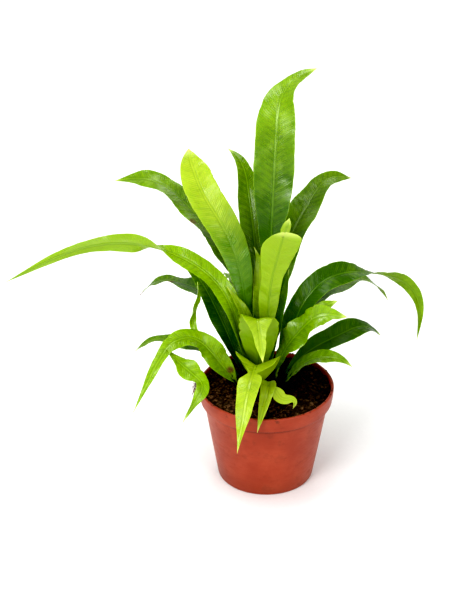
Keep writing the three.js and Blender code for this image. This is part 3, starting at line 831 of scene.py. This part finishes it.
def pot_profile():
    """The wall's corners from the base's middle up the outside and down the inside to the floor."""
    bulge = POT["band_bulge"]
    middle = (BAND_FOOT + POT["height"]) / 2
    top = POT["height"]
    return [
        (0, 0, 0),
        (POT["hub"], 0, 0.8),
        (POT["hub_inner"], POT["hub_rise"], 0.8),
        (POT["hub_outer"], POT["hub_rise"], 0.8),
        (POT["hub_outer"] + 2, 0, 0.8),
        (POT["foot"], 0, 1.6),
        (BODY_RADIUS, BAND_FOOT + 0.2, 0.4),
        (BAND_RADIUS, BAND_FOOT, 0.6),
        (BAND_RADIUS + bulge + POT["band_taper"] / 2, middle, 3.5),
        (POT["rim"], top, 1.3),
        (POT["rim"] - POT["lip"], top, 1.1),
        (*INNER_FOOT, 2),
        (BODY_RADIUS - POT["wall"], BAND_FOOT - POT["chamfer"], 2),
        (POT["foot"] - POT["wall"], FLOOR, 3),
        (0, FLOOR, 0),
    ]


def make_pot(material):
    """The pot: thin moulded plastic, not quite round, with drain holes cut through its floor."""

    def wobble(turn, z):
        share = z / POT["height"]
        return 0.12 * share * np.sin(2 * turn + 0.6) + 0.06 * np.sin(5 * turn + 0.08 * z)

    points, faces = turned(split(rounded(pot_profile()), 6), POT["segments"], wobble)
    pot = mesh_object("pot_shell", points, faces, material, "pot")
    low, high, radius = POT["hub_rise"] - 2, FLOOR + 2, POT["drain_radius"]
    one, own = turned([(0, low), (radius, low), (radius, high), (0, high)], 24)
    cutters = [(one + spot(POT["drains_at"], turn), own) for turn in all_round(POT["drains"])]
    cutter = add_object("drains", plain_mesh("drains", *joined(cutters)))
    cut = pot.modifiers.new("drains", "BOOLEAN")
    cut.operation = "DIFFERENCE"
    cut.solver = "EXACT"
    cut.object = cutter
    with bpy.context.temp_override(object=pot, active_object=pot, selected_objects=[pot]):
        bpy.ops.object.modifier_apply(modifier=cut.name)
    bpy.data.objects.remove(cutter)
    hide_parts("pot")


def pot_material():
    """Terracotta-coloured plastic, with fine moulding lines, scuffs and smears of peat."""
    shader = Shader("pot_plastic")
    mix, noise, ramp, times = shader.mix, shader.noise, shader.ramp, shader.times
    place = shader.place()
    _, _, height = shader.parts(place)
    flattened = shader.node("ShaderNodeMapping", {"Vector": place, "Scale": (1.0, 1.0, 9.0)})
    cloud = noise(place, 35, 4.0, 0.6)
    lines = noise(flattened.outputs[0], 110, 4.0, 0.6)
    speck = noise(place, 1500, 2.0)
    smear = noise(place, 75, 6.0, 0.7)

    # Peat dust, most of it at the lip, and painted shade: a dark line just under the band's step.
    lip, foot = POT["height"] * MM, BAND_FOOT * MM
    near_lip = ramp(height, lip - 0.007, lip - 0.0005)
    dirt = times(ramp(smear, 0.52, 0.66), 0.75, ramp(near_lip, 0.0, 1.0, 0.22, 1.0))
    # Painted shade: a dark line just under the band, where the step's shadow falls.
    line = times(
        ramp(height, foot - 0.0045, foot - 0.0003), ramp(height, foot + 0.0008, foot), 0.8
    )
    colour = shader.layered(
        mix(ramp(cloud, 0.35, 0.7), rgb(142, 58, 34), rgb(157, 71, 45)),
        (ramp(lines, 0.45, 0.75, 0.0, 0.18), rgb(140, 48, 28)),
        (dirt, PEAT_DUST),
        # painted shade under the band
        (line, rgb(74, 26, 14)),
        (times(ramp(height, 0.03, 0.0, 0.0, 0.35), smear), rgb(120, 70, 48)),
    )
    bump = shader.bump(speck, 0.00003, 0.5, shader.bump(lines, 0.00012, 0.5))
    scuffed = shader.math("ADD", ramp(lines, 0.4, 0.8, 0.36, 0.52), times(dirt, 0.4))
    return shader.finish(
        Base_Color=colour,
        Roughness=scuffed,
        Normal=bump,
        Subsurface_Weight=0.06,
        Subsurface_Scale=0.002,
        Subsurface_Radius=(1.0, 0.4, 0.2),
        Specular_IOR_Level=0.4,
    )


# Soil


def inner_radius_at(z):
    """The pot's inner radius at a height behind the band."""
    share = (z - INNER_FOOT[1]) / (INNER_LIP[1] - INNER_FOOT[1])
    return lerp(INNER_FOOT[0], INNER_LIP[0], share)


def soil_height(x, y):
    """The height of the solid's surface: a low mound with lumps that die out at the wall."""
    r = np.hypot(x, y) / POT["rim"]
    lumps = sum(h * np.sin(x * a) * np.cos(y * b) for a, b, h in SOIL["lumps"])
    mound = SOIL["middle"] + (SOIL["edge"] - SOIL["middle"]) * r * r
    return mound + lumps * np.maximum(0, 1 - r**6)


def crumb_field(x, y, rng, count, small, large):
    """Height of a bed of round crumbs of mixed sizes at points x, y."""
    field = np.zeros_like(x)
    centres = rng.uniform(-SOIL["bed_reach"], SOIL["bed_reach"], (count, 2))
    radii = small + (large - small) * rng.uniform(0, 1, count) ** 2.5
    squash = rng.uniform(0.4, 0.8, count)
    for (cx, cy), radius, flat in zip(centres, radii, squash):
        near = (np.abs(x - cx) < radius) & (np.abs(y - cy) < radius)
        inside = radius**2 - (x[near] - cx) ** 2 - (y[near] - cy) ** 2
        field[near] = np.maximum(field[near], flat * np.sqrt(np.maximum(inside, 0)))
    return field


def make_soil(material, rng):
    """The peat's surface as a bed of crumbs, closed below down to the pot's floor."""
    segments = SOIL["segments"]
    brim = inner_radius_at(SOIL["edge"]) - SOIL["clear"]
    radius = brim * np.linspace(1, 0.004, SOIL["rings"])
    turn = all_round(segments)
    x = radius[:, None] * np.cos(turn)
    y = radius[:, None] * np.sin(turn)
    z = soil_height(x, y) - SOIL["sunk"]
    for count, small, large, share in SOIL["beds"]:
        z += share * crumb_field(x, y, rng, count, small, large)
    z += rng.uniform(-SOIL["grain"], SOIL["grain"], z.shape)
    top = np.stack([x, y, z], -1).reshape(-1, 3)
    walls = [
        (POT["foot"] - POT["wall"] - 0.3, SOIL["bottom"]),
        (BODY_RADIUS - POT["wall"] - 0.3, BAND_FOOT - 1),
        (brim - 0.9, BAND_FOOT + 4),
    ]
    points = np.concatenate([*(ring(r, turn, z) for r, z in walls), top])
    soil = mesh_object("soil_peat", points, tube_faces(len(points), segments), material, "soil")
    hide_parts("soil")


def lump(rng, radius):
    """A rough crumb about the origin: a small sphere pushed about and squashed."""
    rings, sides = 5, 7
    points = [(0, 0, -1)]
    for i in range(1, rings):
        polar = math.pi * i / rings
        for k in range(sides):
            turn = 2 * math.pi * (k + 0.5 * (i % 2)) / sides
            points.append(spot(math.sin(polar), turn, -math.cos(polar)))
    points.append((0, 0, 1))
    points = np.array(points) * rng.uniform(0.72, 1.2, (len(points), 1))
    points *= radius * rng.uniform([0.8, 0.6, 0.45], [1.3, 1.0, 0.8])
    turn = rng.uniform(0, 2 * math.pi)
    cos, sin = math.cos(turn), math.sin(turn)
    points = points @ np.array([[cos, sin, 0], [-sin, cos, 0], [0, 0, 1]])
    quads, index, after = ring_quads((rings - 1) * sides, sides, first=1)
    low = [[0, b, a] for a, b in zip(index[0], after[0])]
    high = [[a, b, len(points) - 1] for a, b in zip(index[-1], after[-1])]
    return points, low + quads + high


def strand(line, radius, sides=5):
    """A thin tube along a line of points, tapered to both ends."""
    ahead = unit(np.gradient(line, axis=0))
    across = unit(np.cross(ahead, [0.13, 0.31, 0.94]))
    third = np.cross(ahead, across)
    turn = all_round(sides)[:, None]
    share = np.linspace(0, 1, len(line))
    size = radius * (0.25 + 0.75 * np.sin(np.pi * share) ** 0.5)
    out = across[:, None] * np.cos(turn) + third[:, None] * np.sin(turn)
    points = (line[:, None] + out * size[:, None, None]).reshape(-1, 3)
    return points, tube_faces(len(points), sides)


def fibre(rng, x, y, span, lift):
    """A wandering peat fibre whose middle lies at x, y."""
    count = 12
    heading = rng.uniform(0, 2 * math.pi) + np.cumsum(rng.normal(0, 0.22, count))
    steps = np.stack([np.cos(heading), np.sin(heading)], 1) * span / count
    flat = np.cumsum(steps, axis=0)
    flat += np.array([x, y]) - flat[count // 2]
    most = inner_radius_at(SOIL["edge"]) - 0.8
    flat *= np.minimum(1, most / np.maximum(np.hypot(*flat.T), ON_AXIS))[:, None]
    z = soil_height(*flat.T) + 0.8
    z += lift * np.abs(wander(rng, np.linspace(0, 4, count), 1.3))
    return strand(np.column_stack([flat, z]), rng.uniform(0.12, 0.28))


def tuft_fibre(rng):
    """A fibre of the tuft at the left that spills over the lip."""
    turn = math.radians(rng.normal(TUFT_AT, 6))
    lip = POT["rim"]
    outward = spot(1, turn)
    sideways = np.cross([0, 0, 1], outward)
    inside = rng.uniform(4, 12)
    reach = rng.uniform(0, 3.5)
    knots = [
        (lip - inside, 88.5),
        (lip - 3, 91),
        (lip + 0.5, 91.6),
        (lip + 1.4 + reach, 90.2),
        (lip + 1.8 + 1.4 * reach, 90 - 2.2 * reach),
    ]
    line = np.array([outward * r + [0, 0, z] for r, z in knots])
    line = line[: rng.integers(3, 6)]
    share = np.linspace(0, 1, 9) * (len(line) - 1)
    line = np.stack([np.interp(share, range(len(line)), line[:, k]) for k in range(3)], 1)
    line += sideways * np.cumsum(rng.normal(0, 0.8, 9))[:, None]
    line += outward * np.abs(wander(rng, np.linspace(0, 3, 9), 1))[:, None]
    line[:, 2] += rng.uniform(0, 1.8) * np.abs(wander(rng, np.linspace(0, 3, 9), 1))
    return strand(line, rng.uniform(0.14, 0.3))


def scatter(rng, count, inner, outer):
    """Random places spread evenly over a ring round the pot's axis."""
    radius = np.sqrt(rng.uniform(inner**2, outer**2, count))
    turn = rng.uniform(0, 2 * math.pi, count)
    return radius * np.cos(turn), radius * np.sin(turn)


def make_litter(materials, rng):
    """Loose crumbs and fibres on the peat and in the tuft, and fine crumbs on the lip."""
    crumbs = []

    def drop(size, place):
        points, faces = lump(rng, size)
        crumbs.append((points + place, faces))

    for x, y in zip(*scatter(rng, LITTER["crumbs"], 0, 55.5)):
        drop(rng.uniform(0.6, 1.9), [x, y, soil_height(x, y) + 0.5])
    for turn in rng.uniform(0, 2 * math.pi, LITTER["lip_crumbs"]):
        at = POT["rim"] - POT["lip"] / 2 + rng.uniform(-0.5, 0.4)
        size = rng.uniform(0.25, 0.85)
        drop(size, spot(at, turn, POT["height"] + 0.3 * size))
    for _ in range(LITTER["tuft_crumbs"]):
        turn = math.radians(rng.normal(TUFT_AT, 7))
        at = POT["rim"] + rng.uniform(-7, 1.2)
        drop(rng.uniform(0.5, 1.4), spot(at, turn, POT["height"] + 0.9))
    mesh_object("soil_crumbs", *joined(crumbs), materials["crumb"], "soil")
    fibres = []
    for x, y in zip(*scatter(rng, LITTER["fibres"], 6, 55)):
        fibres.append(fibre(rng, x, y, rng.uniform(8, 26), rng.uniform(0.4, 2.4)))
    fibres += [tuft_fibre(rng) for _ in range(LITTER["tuft_fibres"])]
    mesh_object("soil_fibres", *joined(fibres), materials["fibre"], "soil")


def soil_material(name, dark, light, threshold):
    """Crumbly and matt: light grains above a threshold, and painted shade that darkens it towards the
    back right.
    """
    shader = Shader(name)
    noise, ramp = shader.noise, shader.ramp
    place = shader.place()
    grain = noise(place, 300, 5.0, 0.65)
    patch = noise(place, 90, 3.0)
    fine = noise(place, 1600, 3.0, 0.7)
    x, y, _ = shader.parts(place)
    # Painted shade: the surface darkens towards the back right.
    back_right_shade = shader.math("MULTIPLY_ADD", y, 1.6, x)
    back_right_shade = shader.math("MULTIPLY_ADD", shader.math("SUBTRACT", patch, 0.5), 0.08, back_right_shade)
    colour = shader.layered(
        dark,
        (ramp(grain, threshold, threshold + 0.22), light),
        (ramp(patch, 0.4, 0.7, 0.0, 0.5), dark),
        # painted shade towards the back right
        (ramp(back_right_shade, -0.08, 0.02, 0.0, 0.65), rgb(22, 15, 10)),
    )
    return shader.finish(
        Base_Color=colour,
        Roughness=ramp(grain, 0.3, 0.7, 0.8, 0.96),
        Normal=shader.bump(fine, 0.0004, 0.8),
        Specular_IOR_Level=0.25,
    )


# Crown


def crown_point(turn, polar):
    """A point of the crown's dome at an angle round and one from the top, and the way out of it."""
    z = lerp(CROWN["shoulder"], CROWN["top"], math.cos(polar))
    point = spot(CROWN["radius"] * math.sin(polar), turn, z, CROWN["middle"])
    return point, spot(math.sin(polar), turn, math.cos(polar))


def scale(rng, base, ahead, out, length, width):
    """A thin pointed scale from base along ahead, lifting off in the direction out."""
    share = np.array([0, 0.25, 0.55, 0.8, 1])
    wide = width / 2 * np.array([0.7, 1, 0.75, 0.35, 0.06])
    side = unit(np.cross(out, ahead))
    lift = length * (0.1 * share + rng.uniform(0.0, 0.3) * share**2)
    line = base + ahead * (length * share)[:, None] + out * lift[:, None]
    reach = side * wide[:, None]
    points = np.concatenate([line - reach, line + out * 0.12, line + reach, line - out * 0.1])
    n = len(share)
    starts = [0, n, 2 * n, 3 * n]
    faces = []
    for i in range(n - 1):
        for a, b in zip(starts, [*starts[1:], 0]):
            faces.append([a + i, a + i + 1, b + i + 1, b + i])
    faces.append(starts)
    faces.append([a + n - 1 for a in reversed(starts)])
    return points, faces


def make_crown(fronds, materials, rng):
    """The rootstock's dome under a coat of dark scales, which also cover the foot of every stalk."""
    radius = CROWN["radius"]
    profile = [(0, CROWN["bottom"]), (radius, CROWN["bottom"])]
    for polar in np.linspace(math.pi / 2, 0, 14)[:-1]:
        z = lerp(CROWN["shoulder"], CROWN["top"], math.cos(polar))
        profile.append((radius * math.sin(polar), z))
    profile.append((0, CROWN["top"]))

    def wobble(turn, z):
        return 0.5 * np.sin(5 * turn + z) + 0.4 * np.sin(11 * turn - 2 * z)

    points, faces = turned(profile, 72, wobble)
    points = points + [*CROWN["middle"], 0]
    crown = mesh_object("crown_rootstock", points, faces, materials["rootstock"], "crown")
    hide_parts("crown")
    scales = []
    for _ in range(SCALES["dome"]):
        turn = rng.uniform(0, 2 * math.pi)
        base, out = crown_point(turn, math.acos(rng.uniform(0.05, 1)))
        ahead = np.array([rng.normal(0, 0.5), rng.normal(0, 0.5), 1.0])
        ahead = unit(ahead - out * (ahead @ out) * 0.85)
        scales.append(scale(rng, base, ahead, out, rng.uniform(3.5, 7), rng.uniform(0.8, 1.5)))
    for frond in fronds.values():
        path = path_of(frond, root_of(frond))
        for _ in range(SCALES["stalk"]):
            s = rng.uniform(0.02, 14 / frond["length"])
            here, beyond = point_at(path, np.array([s, s + 0.01]))
            ahead = unit(beyond - here)
            out = unit(np.cross(ahead, rng.normal(0, 1, 3)))
            base = here + out * 1.5
            scales.append(scale(rng, base, ahead, out, rng.uniform(3, 6), rng.uniform(0.6, 1.1)))
    mesh_object("crown_scales", *joined(scales), materials["scale"], "crown")


# Stage


def aim(thing, place, target):
    """Puts a light or a camera at a place and turns it to a target, both in mm."""
    thing.location = Vector(place) * MM
    look = Vector(target) - Vector(place)
    thing.rotation_euler = look.to_track_quat("-Z", "Y").to_euler()


def stage():
    """A pale floor, large soft lights and the camera."""
    far = 6000
    corners = [(-far, -far, 0), (far, -far, 0), (far, far, 0), (-far, far, 0)]
    mesh = plain_mesh("floor", corners, [[0, 1, 2, 3]])
    shader = Shader("floor_paper")
    grain = shader.noise(shader.place(), 300, 2.0)
    tone = shader.mix(grain, (0.86, 0.86, 0.86, 1), (0.9, 0.9, 0.9, 1))
    mesh.materials.append(shader.finish(Base_Color=tone, Roughness=0.7, Specular_IOR_Level=0.2))
    add_object("floor", mesh)

    scene = bpy.context.scene
    scene.world = bpy.data.worlds.new("studio")
    scene.world.use_nodes = True
    background = scene.world.node_tree.nodes["Background"]
    background.inputs[0].default_value = (1, 1, 1, 1)
    background.inputs[1].default_value = 0.6
    # Each light: its name, place, target, width and watts.
    for name, place, target, width, watts in [
        ("top", (-400, 100, 1900), (-30, 0, 100), 900, 11),
        ("front", (-1050, -1500, 1150), (0, 0, 180), 900, 20),
        ("right", (1150, -1500, 500), (0, 0, 180), 800, 9),
        ("back", (300, 1400, 1200), (0, 0, 200), 800, 3),
    ]:
        light = bpy.data.lights.new(name, "AREA")
        light.size = width * MM
        light.energy = watts
        aim(add_object(name, light), place, target)

    lens = bpy.data.cameras.new("camera")
    lens.lens = LENS
    scene.camera = add_object("camera", lens)
    aim(scene.camera, CAMERA_AT, CAMERA_AIM)
    view = scene.view_settings
    view.view_transform = "Standard"
    view.look = "High Contrast"
    view.use_curve_mapping = True
    view.curve_mapping.black_level = (0.014, 0.014, 0.014)


stage()
leaf_materials = {
    "young_frond": frond_material(
        "young_frond_leaf", rgb(80, 122, 0), rgb(160, 181, 42), rgb(141, 166, 32), 0.42, 0.0
    ),
    "mature_frond": frond_material(
        "mature_frond_leaf", rgb(54, 92, 0), rgb(142, 176, 2), rgb(134, 163, 30), 0.35, 0.16
    ),
}
fronds = {name: {**PLAIN, **frond} for name, frond in FRONDS.items()}
for number, (name, frond) in enumerate(fronds.items()):
    make_frond(name, frond, leaf_materials, np.random.default_rng(100 + number))
make_pot(pot_material())
soil_materials = {
    "peat": soil_material("soil_peat_dark", rgb(46, 32, 22), rgb(122, 92, 64), 0.47),
    "crumb": soil_material("soil_crumb_brown", rgb(72, 51, 34), rgb(150, 116, 82), 0.45),
    "fibre": soil_material("soil_fibre_tan", rgb(92, 66, 44), rgb(160, 124, 88), 0.45),
}
make_soil(soil_materials["peat"], np.random.default_rng(7))
make_litter(soil_materials, np.random.default_rng(8))
crown_materials = {
    "rootstock": soil_material("crown_rootstock_bark", rgb(34, 24, 14), rgb(80, 58, 30), 0.5),
    "scale": soil_material("crown_scale_brown", rgb(38, 22, 12), rgb(92, 58, 30), 0.5),
}
make_crown(fronds, crown_materials, np.random.default_rng(9))
